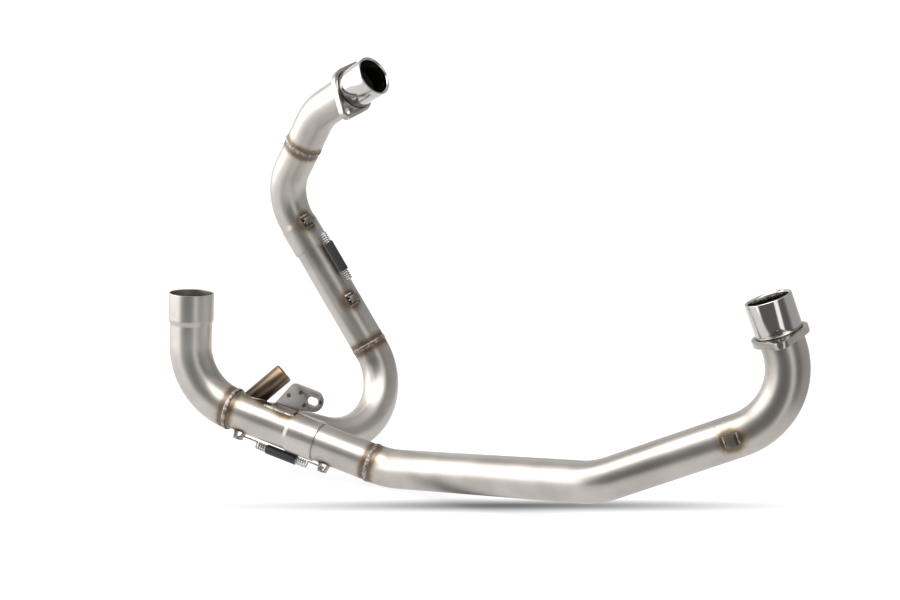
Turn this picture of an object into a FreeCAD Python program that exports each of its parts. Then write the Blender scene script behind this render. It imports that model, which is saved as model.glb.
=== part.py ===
import FreeCAD, Part
import os
import Sketcher

# Two-into-one exhaust header set for a V-twin motorcycle.  +X points forward, +Z up and +Y to the
# bike's left; the origin is the mouth of the front port spigot.  Lengths in mm, angles in degrees.
os.makedirs("parts", exist_ok=True)
doc = FreeCAD.newDocument("decat_pipe")
sheet = doc.addObject("Spreadsheet::Sheet", "Sizes")

SIZES = [
    ("header_od", 45, "header and collector tube outside diameter"),
    ("tube_wall", 1.5, "wall of every drawn tube"),
    ("slip_step", 1, "how much narrower the slip stub and the riser are than the header"),
    ("neck_step", 0.6, "how much narrower the riser is past its neck"),
    ("outlet_step", 5, "how much wider the outlet is than the header"),
    ("slip_od", "=header_od - slip_step", "front slip stub outside diameter"),
    ("riser_od", "=header_od - slip_step", "return and riser tube outside diameter"),
    ("riser_slip_od", "=riser_od - neck_step", "riser end that enters the rear socket"),
    ("outlet_od", "=header_od + outlet_step", "outlet bend outside diameter"),
    ("slip_gap", 0.2, "radial clearance of the slip joints"),
    ("slip_depth", 34, "depth of a slip socket"),
    ("slip_play", 3, "free end room inside a slip socket"),
    ("socket_wall", 1.8, "wall of the collector socket"),
    ("wide_bend", 75, "centreline radius of the wide bends"),
    ("tight_bend", 67.5, "centreline radius of the tight bends"),
    ("port_lean", 16, "front port axis, lean back from vertical"),
    ("port_splay", 12, "front port axis, lean to the side"),
    ("front_leg_a", 52, "front mouth to first bend"),
    ("front_bend_a", 87, "first front bend"),
    ("front_roll_a", -29, "plane of the first front bend"),
    ("front_leg_b", 138, "straight after the first bend"),
    ("front_bend_b", 30, "second front bend"),
    ("front_roll_b", 67, "plane of the second front bend"),
    ("front_leg_c", 261, "long run under the engine"),
    ("front_bend_c", 31.5, "third front bend"),
    ("front_roll_c", -99, "plane of the third front bend"),
    ("front_seam", 18, "first bend to the dressed seam"),
    ("spring_span", 112, "distance between the tabs of one spring"),
    ("joint_station", 70, "third bend to the collector socket mouth"),
    ("stub_tab_room", 16, "slip stub tab to the collector socket mouth"),
    ("weld_tab_room", 19, "collector tab to the outlet weld"),
    ("front_tab_station", "=joint_station - stub_tab_room", "third bend to the slip stub tab"),
    ("shoulder", 4, "length of the collector socket shoulder"),
    ("outlet_station", "=front_tab_station + spring_span + weld_tab_room", "third bend to the outlet weld"),
    ("outlet_swage", 8, "length of the swage before the outlet weld"),
    ("outlet_bend", 76.5, "outlet bend"),
    ("outlet_roll", 45, "plane of the outlet bend"),
    ("outlet_leg", 20, "outlet bend to the mouth swage"),
    ("mouth_swage", 12, "length of the mouth swage"),
    ("mouth_depth", 30, "depth of the outlet mouth socket"),
    ("mouth_gap", 0.2, "radial clearance in the outlet mouth"),
    ("merge_room", 21, "merge point to the outlet weld"),
    ("merge_station", "=outlet_station - merge_room", "third bend to the point where the pipes merge"),
    ("merge_angle", 44, "angle between the merging pipes"),
    ("merge_roll", 147, "side of the collector that takes the return"),
    ("rear_leg_a", 100, "merge point to the return bend"),
    ("rear_bend_a", 132.5, "return bend"),
    ("rear_roll_a", -117, "plane of the return bend"),
    ("rear_tab_station", 67, "return bend to the riser tab"),
    ("bend_tab_room", 5, "upper riser tab to the bend above it"),
    ("rear_leg_b", "=rear_tab_station + spring_span + bend_tab_room", "riser length"),
    ("rear_bend_b", 63.5, "bend above the riser"),
    ("rear_roll_b", 106, "plane of the bend above the riser"),
    ("rear_leg_c", 72, "straight below the rear port"),
    ("rear_bend_c", 26.5, "bend below the rear port"),
    ("rear_roll_c", -2, "plane of the bend below the rear port"),
    ("rear_leg_d", 84, "last bend to the rear mouth"),
    ("riser_seam", 6.5, "return bend to the riser weld"),
    ("neck_show", 29, "neck of the riser to the rear socket mouth"),
    ("riser_joint", "=rear_leg_b - slip_depth - shoulder", "return bend to the rear socket mouth"),
    ("riser_neck", "=riser_joint - neck_show", "return bend to the neck of the riser"),
    ("rear_seam", 38, "upper riser bend to the rear weld"),
    ("spigot_step", 3, "how much wider a port spigot is than its tube"),
    ("spigot_od", "=header_od + spigot_step", "port spigot outside diameter"),
    ("spigot_length", 38, "port spigot length"),
    ("spigot_root", 2, "length of the narrower root that seats in the flange"),
    ("root_step", 0.4, "how much the root lies below the spigot's outside"),
    ("spigot_seat", 24, "mouth to the end of the tube inside the spigot"),
    ("spigot_bevel", 1.2, "bevel inside the spigot mouth"),
    ("flange_thick", 7, "port flange thickness"),
    ("flange_web", 5, "port flange width round the spigot"),
    ("flange_ring", "=spigot_od / 2 + flange_web", "port flange radius round the spigot"),
    ("flange_lobe", 9.5, "port flange radius round a stud"),
    ("stud_room", 12, "spigot to stud axis"),
    ("stud_offset", "=spigot_od / 2 + stud_room", "pipe axis to stud axis"),
    ("stud_hole", 8.6, "stud hole diameter"),
    ("flange_recess", 2, "depth of the recess for the spigot"),
    ("flange_gap", 0.5, "clearance of the loose flanges"),
    ("front_lobe_roll", 58, "direction of the front flange lobes"),
    ("rear_lobe_roll", 54, "direction of the rear flange lobes"),
    ("bead", 2, "half width of a weld bead"),
    ("bead_sink", 0.4, "bead centre below the tube surface"),
    ("merge_bead", 2.2, "reach of the merge weld"),
    ("boss_od", 24.5, "sensor boss outside diameter"),
    ("boss_bore", 16.5, "sensor boss thread minor diameter"),
    ("boss_thread", 16, "depth of the sensor thread"),
    ("boss_gallery", 19.5, "sensor boss bore below the thread"),
    ("boss_height", 48.5, "collector wall to the sensor boss face"),
    ("boss_reach", "=header_od / 2 + boss_height", "collector axis to the sensor boss face"),
    ("boss_chamfer", 1.5, "chamfer of the sensor boss face"),
    ("boss_room", 8, "sensor boss axis to the outlet weld"),
    ("boss_station", "=outlet_station - boss_room", "third bend to the sensor boss axis"),
    ("boss_roll", 72, "direction of the sensor boss"),
    ("boss_lean", 28, "lean of the sensor boss towards the front"),
    ("bracket_thick", 3, "bracket plate thickness"),
    ("bracket_station", 93, "third bend to the bracket slot"),
    ("bracket_roll", 59, "direction in which the bracket stands"),
    ("bracket_rise", 20, "collector wall to the bracket slot"),
    ("bracket_height", "=header_od / 2 + bracket_rise", "collector axis to the bracket slot"),
    ("bracket_end", 13, "radius of the bracket end"),
    ("bracket_corner", 8, "radius of the bracket corner"),
    ("bracket_length", 43, "slot to the far end of the bracket"),
    ("bracket_drop", 16.5, "slot to the lower edge of the bracket"),
    ("bracket_neck", 13.5, "slot to the start of the foot"),
    ("bracket_slope", 66, "angle of the bracket's sloping edge"),
    ("foot_roll", 40, "direction of the bracket foot"),
    ("foot_near", 6, "reach of the foot past its middle"),
    ("foot_far", 9.5, "reach of the foot under the plate"),
    ("slot_width", 9, "bracket slot width"),
    ("slot_length", 14, "bracket slot length"),
    ("tab_width", 11, "spring tab width"),
    ("tab_strip", 2, "spring tab strip thickness"),
    ("tab_height", 9, "spring tab height"),
    ("tab_base", 14, "spring tab length on the tube"),
    ("tab_crown", 8, "spring tab length at its crown"),
    ("spare_tab_station", 6, "first bend to the spare spring tab"),
    ("spare_tab_roll", -82, "direction of the spare spring tab"),
    ("wire", 2, "spring wire diameter"),
    ("hook_inset", 0.1, "hook wire inside the outside of its coil"),
    ("sleeve_length", 40, "rubber sleeve length"),
    ("coil_od", 11, "spring coil outside diameter"),
    ("coil_pitch", 2.1, "spring coil pitch"),
    ("open_turns", 7, "coil turns in sight at each end of a sleeve"),
    ("core_inset", 0.5, "end of the turns inside a sleeve, below its end"),
    ("core_bury", 0.3, "start of the open turns, below the turns inside the sleeve"),
    ("core_length", "=sleeve_length - 2 * core_inset", "length of the turns inside a sleeve"),
    ("coil_length", "=core_length - 2 * core_bury + 2 * open_turns * coil_pitch + wire", "spring coil length"),
    ("spring_rise", 8.5, "tube wall to spring axis"),
    ("spring_height", "=header_od / 2 + spring_rise", "tube axis to spring axis"),
    ("spring_side", 14, "angle between a spring and its tabs"),
    ("hook_bend", 3, "radius of the spring hook"),
    ("hook_tail", 11.5, "length of wire through a tab"),
    ("hook_lead", 0.6, "wire centre to tab centre"),
    ("front_tab_roll", -117, "direction of the front spring tabs"),
    ("rear_tab_roll", 83, "direction of the rear spring tabs"),
    ("sleeve_od", 12.8, "rubber sleeve outside diameter"),
    ("sleeve_gap", 0.1, "clearance between sleeve and coil"),
]
for row, (alias, value, note) in enumerate(SIZES, 1):
    sheet.set(f"A{row}", note)
    sheet.set(f"B{row}", str(value))
    sheet.setAlias(f"B{row}", alias)
doc.recompute()

HEADER = "Sizes.header_od"
WALL = "Sizes.tube_wall"
SOCKET = "(Sizes.slip_od + 2 * Sizes.slip_gap + 2 * Sizes.socket_wall)"
REAR_SOCKET = "(Sizes.riser_slip_od + 2 * Sizes.slip_gap + 2 * Sizes.tube_wall)"
MOUTH = "(Sizes.outlet_od + 2 * Sizes.mouth_gap + 2 * Sizes.tube_wall)"


def bind(thing, **rules):
    for name, rule in rules.items():
        thing.setExpression(name, str(rule))
    return thing


def along(distance):
    return f"placement(vector(0; 0; {distance}); rotation(vector(0; 0; 1); 0))"


def out(distance):
    return f"placement(vector({distance}; 0; 0); rotation(vector(0; 0; 1); 0))"


def turn(axis, angle):
    return f"placement(vector(0; 0; 0); rotation(vector({axis}); {angle}))"


def roll(angle):
    return turn("0; 0; 1", angle)


def hub(radius):
    """From a point on a tube to the centre of its bend, with the bend's axis as Z, or back."""
    return f"placement(vector({radius}; 0; 0); rotation(vector(0; 1; 1); 180))"


def frame(name, parent, *moves):
    """A datum: the parent's place followed by moves along and about its own axes."""
    chain = [f"{parent.Name}.Placement"] if parent else []
    return bind(doc.addObject("App::Placement", name), Placement=" * ".join(chain + list(moves)))


def cylinder(name, place, radius, height):
    solid = doc.addObject("Part::Cylinder", name)
    return bind(solid, Radius=radius, Height=height, Placement=f"{place.Name}.Placement")


def cone(name, place, start, end, height):
    solid = doc.addObject("Part::Cone", name)
    bind(solid, Radius1=start, Radius2=end, Height=height)
    return bind(solid, Placement=f"{place.Name}.Placement")


def ring(name, place, radius, section):
    solid = doc.addObject("Part::Torus", name)
    return bind(solid, Radius1=radius, Radius2=section, Placement=f"{place.Name}.Placement")


def box(name, place, length, width, height):
    solid = doc.addObject("Part::Box", name)
    bind(solid, Length=length, Width=width, Height=height)
    return bind(solid, Placement=f"{place.Name}.Placement")


def fuse(name, solids):
    if len(solids) == 1:
        return solids[0]
    joined = doc.addObject("Part::MultiFuse", name)
    joined.Shapes = solids
    return joined


def cut(name, base, *tools):
    result = doc.addObject("Part::Cut", name)
    result.Base = base
    result.Tool = fuse(f"{name}_tools", list(tools))
    return result


class Tube:
    """A round tube followed along its centreline by legs, bends and swages, bore included."""

    def __init__(self, label, start, od, wall=None):
        self.label = label
        self.end = start
        self.od = od
        self.wall = wall
        self.outer = []
        self.inner = []

    def sides(self):
        yield self.outer, f"{self.od} / 2", f"{self.label}_outer_{len(self.outer)}"
        if self.wall:
            yield self.inner, f"{self.od} / 2 - {self.wall}", f"{self.label}_inner_{len(self.inner)}"

    def move(self, *moves):
        self.end = frame(f"{self.label}_at_{len(self.outer)}", self.end, *moves)

    def leg(self, length):
        for solids, radius, name in list(self.sides()):
            solids.append(cylinder(name, self.end, radius, length))
        self.move(along(length))
        return self

    def bend(self, radius, angle, plane):
        self.move(roll(plane), hub(radius))
        for solids, section, name in list(self.sides()):
            solid = ring(name, self.end, radius, section)
            solids.append(bind(solid, Angle3=angle))
        self.move(roll(angle), hub(radius))
        return self

    def swage(self, length, od, wall):
        before = list(self.sides())
        self.od = od
        self.wall = wall
        after = list(self.sides())
        for (solids, start, name), (_, end, _) in zip(before, after):
            solids.append(cone(name, self.end, start, end, length))
        self.move(along(length))
        return self

    def finish(self, *trims):
        self.body = fuse(f"{self.label}_body", self.outer)
        if self.wall:
            self.bore = fuse(f"{self.label}_bore", self.inner)
            trims = (self.bore,) + trims
        self.part = cut(self.label, self.body, *trims) if trims else self.body
        return self


nodes = {}

# Front header: port spigot, down bend, long run and slip stub, in the order the gas takes.
front_port = frame(
    "front_port", None, turn("1; 0; 0", "Sizes.port_splay"), turn("0; 1; 0", "180 - Sizes.port_lean")
)
front_start = frame("front_start", front_port, along("Sizes.spigot_seat"))
down = Tube("front_down_bend", front_start, HEADER, WALL)
down.leg("Sizes.front_leg_a - Sizes.spigot_seat")
down.bend("Sizes.wide_bend", "Sizes.front_bend_a", "Sizes.front_roll_a")
front_rake = down.end
down.leg("Sizes.front_seam").finish()

run = Tube("front_run_tube", down.end, HEADER, WALL)
run.leg("Sizes.front_leg_b - Sizes.front_seam")
run.bend("Sizes.tight_bend", "Sizes.front_bend_b", "Sizes.front_roll_b")
run.leg("Sizes.front_leg_c")
run.bend("Sizes.tight_bend", "Sizes.front_bend_c", "Sizes.front_roll_c").finish()
collector_line = run.end

stub = Tube("front_slip_tube", collector_line, "Sizes.slip_od", WALL)
stub.leg("Sizes.joint_station + Sizes.slip_depth - Sizes.slip_play").finish()

# Collector: slip socket, shoulder, straight with two side openings, and the swage to the outlet.
socket_mouth = frame("socket_mouth", collector_line, along("Sizes.joint_station"))
collector = Tube("collector_tube", socket_mouth, SOCKET, "Sizes.socket_wall")
collector.leg("Sizes.slip_depth")
collector.swage("Sizes.shoulder", HEADER, WALL)
collector.leg(
    "Sizes.outlet_station - Sizes.joint_station - Sizes.slip_depth - Sizes.shoulder - Sizes.outlet_swage"
)
collector.swage("Sizes.outlet_swage", "Sizes.outlet_od", WALL)

outlet = Tube("outlet_bend", collector.end, "Sizes.outlet_od", WALL)
outlet.bend("Sizes.wide_bend", "Sizes.outlet_bend", "Sizes.outlet_roll")
outlet.leg("Sizes.outlet_leg")
outlet.swage("Sizes.mouth_swage", MOUTH, WALL)
outlet.leg("Sizes.mouth_depth").finish()

# Rear header, from the merge back up to its port: return bend, riser, lower and upper bends.
merge = frame(
    "merge", collector_line, along("Sizes.merge_station"), roll("Sizes.merge_roll"),
    turn("0; 1; 0", "180 - Sizes.merge_angle"),
)
back = Tube("return_bend", merge, "Sizes.riser_od", WALL)
back.leg("Sizes.rear_leg_a")
back.bend("Sizes.wide_bend", "Sizes.rear_bend_a", "Sizes.rear_roll_a")
riser_line = back.end
back.leg("Sizes.riser_seam")

riser = Tube("riser_tube", back.end, "Sizes.riser_od", WALL)
riser.leg("Sizes.riser_neck - Sizes.riser_seam")
riser.swage("Sizes.shoulder", "Sizes.riser_slip_od", WALL)
riser.leg(
    "Sizes.riser_joint + Sizes.slip_depth - Sizes.slip_play - Sizes.riser_neck - Sizes.shoulder"
).finish()

rear_socket = frame("rear_socket", riser_line, along("Sizes.riser_joint"))
lower = Tube("rear_lower_bend", rear_socket, REAR_SOCKET, WALL)
lower.leg("Sizes.slip_depth")
lower.swage("Sizes.rear_leg_b - Sizes.riser_joint - Sizes.slip_depth", HEADER, WALL)
lower.bend("Sizes.tight_bend", "Sizes.rear_bend_b", "Sizes.rear_roll_b")
lower.leg("Sizes.rear_seam").finish()

upper = Tube("rear_upper_bend", lower.end, HEADER, WALL)
upper.leg("Sizes.rear_leg_c - Sizes.rear_seam")
upper.bend("Sizes.tight_bend", "Sizes.rear_bend_c", "Sizes.rear_roll_c")
upper.leg("Sizes.rear_leg_d - Sizes.spigot_seat").finish()
rear_port = frame("rear_port", upper.end, along("Sizes.spigot_seat"), turn("1; 0; 0", 180))

# Sensor boss on the collector, and the openings it and the return pipe need in the collector wall.
boss_line = frame(
    "boss_line", collector_line, along("Sizes.boss_station"), roll("Sizes.boss_roll"),
    turn("0; 1; 0", "90 + Sizes.boss_lean"),
)
boss = Tube("sensor_boss", boss_line, "Sizes.boss_od", "(Sizes.boss_od - Sizes.boss_gallery) / 2")
boss.leg("Sizes.boss_reach - Sizes.boss_thread - Sizes.boss_chamfer")
boss.swage("Sizes.boss_chamfer", "Sizes.boss_od", "(Sizes.boss_od - Sizes.boss_bore) / 2")
boss.leg("Sizes.boss_thread - Sizes.boss_chamfer")
boss.swage(
    "Sizes.boss_chamfer",
    "(Sizes.boss_od - 2 * Sizes.boss_chamfer)",
    "((Sizes.boss_od - Sizes.boss_bore) / 2 - Sizes.boss_chamfer)",
)
boss_port = fuse("boss_port", boss.inner)
collector.finish(fuse("return_port", back.inner), boss_port)
back.finish(collector.body, boss_port)
boss.finish(collector.body, back.body, outlet.body)
for tube in (down, run, stub, collector, outlet, back, riser, lower, upper, boss):
    nodes[tube.label] = tube.part


def bead(label, place, od, *tubes):
    """A weld bead round a butt seam, seated on the outsides of the tubes it joins."""
    bulge = ring(f"{label}_bulge", place, f"{od} / 2 - Sizes.bead_sink", "Sizes.bead")
    nodes[label] = cut(label, bulge, *[tube.body for tube in tubes])


bead("front_weld", collector_line, HEADER, run, stub)
bead("outlet_weld", collector.end, "Sizes.outlet_od", collector, outlet)
bead("riser_weld", back.end, "Sizes.riser_od", back, riser)
bead("rear_weld", lower.end, HEADER, lower, upper)


def spigot(label, port):
    """Turned nose that enters the exhaust port, bored to take the end of its tube."""
    land = cylinder(
        f"{label}_land", port, "Sizes.spigot_od / 2", "Sizes.spigot_length - Sizes.spigot_root"
    )
    root = cylinder(f"{label}_root", port, "Sizes.spigot_od / 2 - Sizes.root_step", "Sizes.spigot_length")
    nose = fuse(f"{label}_nose", [land, root])
    way = cylinder(f"{label}_way", port, "Sizes.header_od / 2 - Sizes.tube_wall", "Sizes.spigot_length")
    bevel = cone(
        f"{label}_bevel", port, "Sizes.header_od / 2 - Sizes.tube_wall + Sizes.spigot_bevel",
        "Sizes.header_od / 2 - Sizes.tube_wall", "Sizes.spigot_bevel",
    )
    seat = frame(f"{label}_tube_seat", port, along("Sizes.spigot_seat"))
    pocket = cylinder(
        f"{label}_pocket", seat, "Sizes.header_od / 2", "Sizes.spigot_length - Sizes.spigot_seat"
    )
    nodes[label] = cut(label, nose, way, bevel, pocket)


def flange(label, port, lobe_roll):
    """Loose two-stud flange behind a spigot: a ring drawn out into a lobe round each stud."""
    face = frame(
        f"{label}_face", port,
        along("Sizes.spigot_length + Sizes.flange_gap - Sizes.flange_recess"), roll(lobe_roll),
    )
    big = sheet.flange_ring
    small = sheet.flange_lobe
    reach = sheet.stud_offset
    lean = (big - small) / reach
    rise = (1 - lean ** 2) ** 0.5
    point = FreeCAD.Vector
    outline = doc.addObject("Sketcher::SketchObject", f"{label}_outline")
    bind(outline, Placement=f"{face.Name}.Placement")
    corners = []
    for x_side, y_side in ((1, 1), (-1, 1), (-1, -1), (1, -1)):
        normal = point(x_side * lean, y_side * rise, 0)
        corners.append((normal * big, point(x_side * reach, 0, 0) + normal * small))
    top = Part.Arc(corners[0][0], point(0, big, 0), corners[1][0])
    left = Part.Arc(corners[1][1], point(-reach - small, 0, 0), corners[2][1])
    bottom = Part.Arc(corners[2][0], point(0, -big, 0), corners[3][0])
    right = Part.Arc(corners[3][1], point(reach + small, 0, 0), corners[0][1])
    tangents = [Part.LineSegment(*corner) for corner in corners]
    outline.addGeometry([top, left, bottom, right] + tangents, False)
    rules = [
        Sketcher.Constraint("Tangent", 0, 1, 4, 1),
        Sketcher.Constraint("Tangent", 4, 2, 3, 2),
        Sketcher.Constraint("Tangent", 0, 2, 5, 1),
        Sketcher.Constraint("Tangent", 5, 2, 1, 1),
        Sketcher.Constraint("Tangent", 1, 2, 6, 2),
        Sketcher.Constraint("Tangent", 6, 1, 2, 1),
        Sketcher.Constraint("Tangent", 2, 2, 7, 1),
        Sketcher.Constraint("Tangent", 7, 2, 3, 1),
        Sketcher.Constraint("Coincident", 0, 3, -1, 1),
        Sketcher.Constraint("Coincident", 2, 3, -1, 1),
        Sketcher.Constraint("PointOnObject", 1, 3, -1),
        Sketcher.Constraint("PointOnObject", 3, 3, -1),
    ]
    outline.addConstraint(rules)
    driven = [
        ("ring_top", Sketcher.Constraint("Radius", 0, big), "Sizes.flange_ring"),
        ("ring_bottom", Sketcher.Constraint("Radius", 2, big), "Sizes.flange_ring"),
        ("lobe_left", Sketcher.Constraint("Radius", 1, small), "Sizes.flange_lobe"),
        ("lobe_right", Sketcher.Constraint("Radius", 3, small), "Sizes.flange_lobe"),
        ("reach_left", Sketcher.Constraint("DistanceX", 1, 3, -1, 1, reach), "Sizes.stud_offset"),
        ("reach_right", Sketcher.Constraint("DistanceX", -1, 1, 3, 3, reach), "Sizes.stud_offset"),
    ]
    for name, rule, size in driven:
        outline.renameConstraint(outline.addConstraint(rule), name)
        outline.setExpression(f"Constraints.{name}", size)
    plate = doc.addObject("Part::Extrusion", f"{label}_plate")
    plate.Base = outline
    plate.DirMode = "Normal"
    plate.Solid = True
    bind(plate, LengthFwd="Sizes.flange_thick")
    hole = cylinder(
        f"{label}_hole", face, "Sizes.header_od / 2 + Sizes.flange_gap", "Sizes.flange_thick"
    )
    recess = cylinder(
        f"{label}_recess", face, "Sizes.spigot_od / 2 + Sizes.flange_gap", "Sizes.flange_recess"
    )
    studs = []
    for side, offset in (("near", "Sizes.stud_offset"), ("far", "-Sizes.stud_offset")):
        stud = frame(f"{label}_{side}_stud", face, out(offset))
        studs.append(
            cylinder(f"{label}_{side}_hole", stud, "Sizes.stud_hole / 2", "Sizes.flange_thick")
        )
    nodes[label] = cut(label, plate, hole, recess, *studs)


spigot("front_spigot", front_port)
flange("front_flange", front_port, "Sizes.front_lobe_roll")
spigot("rear_spigot", rear_port)
flange("rear_flange", rear_port, "Sizes.rear_lobe_roll")

# Mounting bracket: a slotted plate standing on the collector, folded over at its foot.
slot_centre = frame(
    "slot_centre", collector_line, along("Sizes.bracket_station"), roll("Sizes.bracket_roll"),
    out("Sizes.bracket_height"), turn("1; 1; -1", 120),
)
end = sheet.bracket_end
corner = sheet.bracket_corner
back_end = -sheet.bracket_length
lower_edge = -sheet.bracket_drop
foot_edge = -sheet.bracket_neck
shoulder_x = back_end + 2 * corner
V = FreeCAD.Vector
profile = doc.addObject("Sketcher::SketchObject", "bracket_outline")
bind(profile, Placement="slot_centre.Placement")
profile.addGeometry([
    Part.Arc(V(0, -end, 0), V(end, 0, 0), V(0, end, 0)),
    Part.LineSegment(V(0, end, 0), V(shoulder_x, end, 0)),
    Part.Arc(
        V(shoulder_x, end, 0), V(shoulder_x - corner * 0.7, end - corner * 0.3, 0),
        V(shoulder_x - corner, end - corner, 0),
    ),
    Part.LineSegment(V(shoulder_x - corner, end - corner, 0), V(back_end, lower_edge, 0)),
    Part.LineSegment(V(back_end, lower_edge, 0), V(foot_edge, lower_edge, 0)),
    Part.LineSegment(V(foot_edge, lower_edge, 0), V(0, -end, 0)),
], False)
profile.addConstraint([
    Sketcher.Constraint("Coincident", 0, 3, -1, 1),
    Sketcher.Constraint("PointOnObject", 0, 1, -2),
    Sketcher.Constraint("Tangent", 0, 2, 1, 1),
    Sketcher.Constraint("Tangent", 1, 2, 2, 1),
    Sketcher.Constraint("Tangent", 2, 2, 3, 1),
    Sketcher.Constraint("Coincident", 3, 2, 4, 1),
    Sketcher.Constraint("Coincident", 4, 2, 5, 1),
    Sketcher.Constraint("Coincident", 5, 2, 0, 1),
    Sketcher.Constraint("Horizontal", 1),
    Sketcher.Constraint("Horizontal", 4),
])
for name, rule, size in [
    ("end_radius", Sketcher.Constraint("Radius", 0, end), "Sizes.bracket_end"),
    ("corner_radius", Sketcher.Constraint("Radius", 2, corner), "Sizes.bracket_corner"),
    ("far_end", Sketcher.Constraint("DistanceX", 3, 2, -1, 1, -back_end), "Sizes.bracket_length"),
    ("lower_edge", Sketcher.Constraint("DistanceY", 3, 2, -1, 1, -lower_edge), "Sizes.bracket_drop"),
    ("foot_start", Sketcher.Constraint("DistanceX", 4, 2, -1, 1, -foot_edge), "Sizes.bracket_neck"),
    ("slope", Sketcher.Constraint("Angle", 4, 1, 3, 2, 1.15), "Sizes.bracket_slope * 1 deg"),
]:
    profile.renameConstraint(profile.addConstraint(rule), name)
    profile.setExpression(f"Constraints.{name}", size)
plate = doc.addObject("Part::Extrusion", "bracket_plate")
plate.Base = profile
plate.DirMode = "Normal"
plate.Solid = True
bind(plate, LengthFwd="Sizes.bracket_thick")
foot_corner = frame(
    "foot_corner", collector_line, along("Sizes.bracket_station + Sizes.bracket_neck"),
    roll("Sizes.foot_roll"), out("Sizes.header_od / 2 - Sizes.bead_sink"),
    "placement(vector(0; -Sizes.foot_near; 0); rotation(vector(0; 0; 1); 0))",
)
foot = box(
    "bracket_foot", foot_corner, "Sizes.bracket_thick", "Sizes.foot_near + Sizes.foot_far",
    "Sizes.bracket_length - Sizes.bracket_neck",
)
slot = []
for side, sign in (("front", ""), ("back", "-")):
    slot_end = frame(f"slot_{side}", slot_centre, out(f"{sign}(Sizes.slot_length - Sizes.slot_width) / 2"))
    slot.append(cylinder(f"slot_{side}_end", slot_end, "Sizes.slot_width / 2", "Sizes.bracket_thick"))
slot_corner = frame(
    "slot_corner", slot_centre,
    "placement(vector((Sizes.slot_width - Sizes.slot_length) / 2; -Sizes.slot_width / 2; 0);"
    " rotation(vector(0; 0; 1); 0))",
)
slot.append(box(
    "slot_middle", slot_corner, "Sizes.slot_length - Sizes.slot_width", "Sizes.slot_width",
    "Sizes.bracket_thick",
))
folded = fuse("bracket_folded", [plate, foot])
nodes["mount_bracket"] = cut("mount_bracket", folded, collector.body, *slot)


def tab(label, line, station, direction, *tubes):
    """Spring tab: a strip bent into a bridge that stands on a tube."""
    base = frame(
        f"{label}_base", line, along(station), roll(direction), turn("0; 0; 1", -90)
    )
    shapes = []
    for side, thick in (("outer", "0"), ("inner", "Sizes.tab_strip")):
        wedge = doc.addObject("Part::Wedge", f"{label}_{side}")
        bind(wedge, Xmin="-Sizes.tab_width / 2", Xmax="Sizes.tab_width / 2")
        bind(wedge, X2min="-Sizes.tab_width / 2", X2max="Sizes.tab_width / 2")
        bind(wedge, Ymin="Sizes.header_od / 2 - 2 * Sizes.tab_strip")
        bind(wedge, Ymax=f"Sizes.header_od / 2 + Sizes.tab_height - {thick}")
        bind(wedge, Zmin=f"{thick} - Sizes.tab_base / 2", Zmax=f"Sizes.tab_base / 2 - {thick}")
        bind(wedge, Z2min=f"{thick} / 2 - Sizes.tab_crown / 2")
        bind(wedge, Z2max=f"Sizes.tab_crown / 2 - {thick} / 2")
        bind(wedge, Placement=f"{base.Name}.Placement")
        shapes.append(wedge)
    nodes[label] = cut(label, *shapes, *[tube.body for tube in tubes])
    return shapes[0]


def turns(name, place):
    """Open turns of a spring: six-sided wire swept along a helix that starts at a place."""
    path = doc.addObject("Part::Helix", f"{name}_path")
    bind(path, Pitch="Sizes.coil_pitch", Height="Sizes.open_turns * Sizes.coil_pitch")
    bind(path, Radius="(Sizes.coil_od - Sizes.wire) / 2", Placement=f"{place.Name}.Placement")
    at = frame(f"{name}_at", place, out("(Sizes.coil_od - Sizes.wire) / 2"), turn("1; 0; 0", 90))
    section = doc.addObject("Part::RegularPolygon", f"{name}_section")
    section.Polygon = 6
    bind(section, Circumradius="(Sizes.wire - Sizes.hook_inset) / 2", Placement=f"{at.Name}.Placement")
    sweep = doc.addObject("Part::Sweep", name)
    sweep.Sections = [section]
    sweep.Spine = (path, [])
    sweep.Solid = True
    sweep.Frenet = True
    return sweep


def spring(label, line, station, direction, side):
    """Tension spring with a hook at each end through a tab, and a rubber sleeve round its middle."""
    middle = frame(
        f"{label}_middle", line, along(f"{station} + Sizes.spring_span / 2"),
        roll(f"{direction} + {side} * Sizes.spring_side"), out("Sizes.spring_height"),
    )
    core_start = frame(f"{label}_start", middle, along("-Sizes.core_length / 2"))
    core = Tube(f"{label}_core", core_start, "Sizes.coil_od", "(Sizes.wire + 2 * Sizes.hook_inset)")
    core.leg("Sizes.core_length").finish()
    pieces = [core.part]
    for end, flip, plane in (("near", 180, 90 * side), ("far", 0, -90 * side)):
        first_turn = frame(
            f"{label}_{end}_turn", middle, turn("1; 0; 0", flip),
            along("Sizes.core_length / 2 - Sizes.core_bury"), roll(180),
        )
        pieces.append(turns(f"{label}_{end}_turns", first_turn))
        exit_point = frame(
            f"{label}_{end}", middle, turn("1; 0; 0", flip), along("Sizes.coil_length / 2 - Sizes.wire"),
            out("(Sizes.wire - Sizes.coil_od) / 2 + Sizes.hook_inset"),
        )
        hook = Tube(f"{label}_{end}_hook", exit_point, "Sizes.wire")
        hook.leg(
            "(Sizes.spring_span - Sizes.coil_length) / 2 + Sizes.wire - Sizes.hook_lead - Sizes.hook_bend"
        )
        hook.bend("Sizes.hook_bend", 90, plane)
        pieces.append(hook.leg("Sizes.hook_tail").finish().part)
    nodes[label] = fuse(label, pieces)
    sleeve_start = frame(f"{label}_sleeve_start", middle, along("-Sizes.sleeve_length / 2"))
    sleeve = Tube(
        f"{label}_sleeve", sleeve_start, "Sizes.sleeve_od",
        "((Sizes.sleeve_od - Sizes.coil_od) / 2 - Sizes.sleeve_gap)",
    )
    nodes[f"{label}_sleeve"] = sleeve.leg("Sizes.sleeve_length").finish().part


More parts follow.
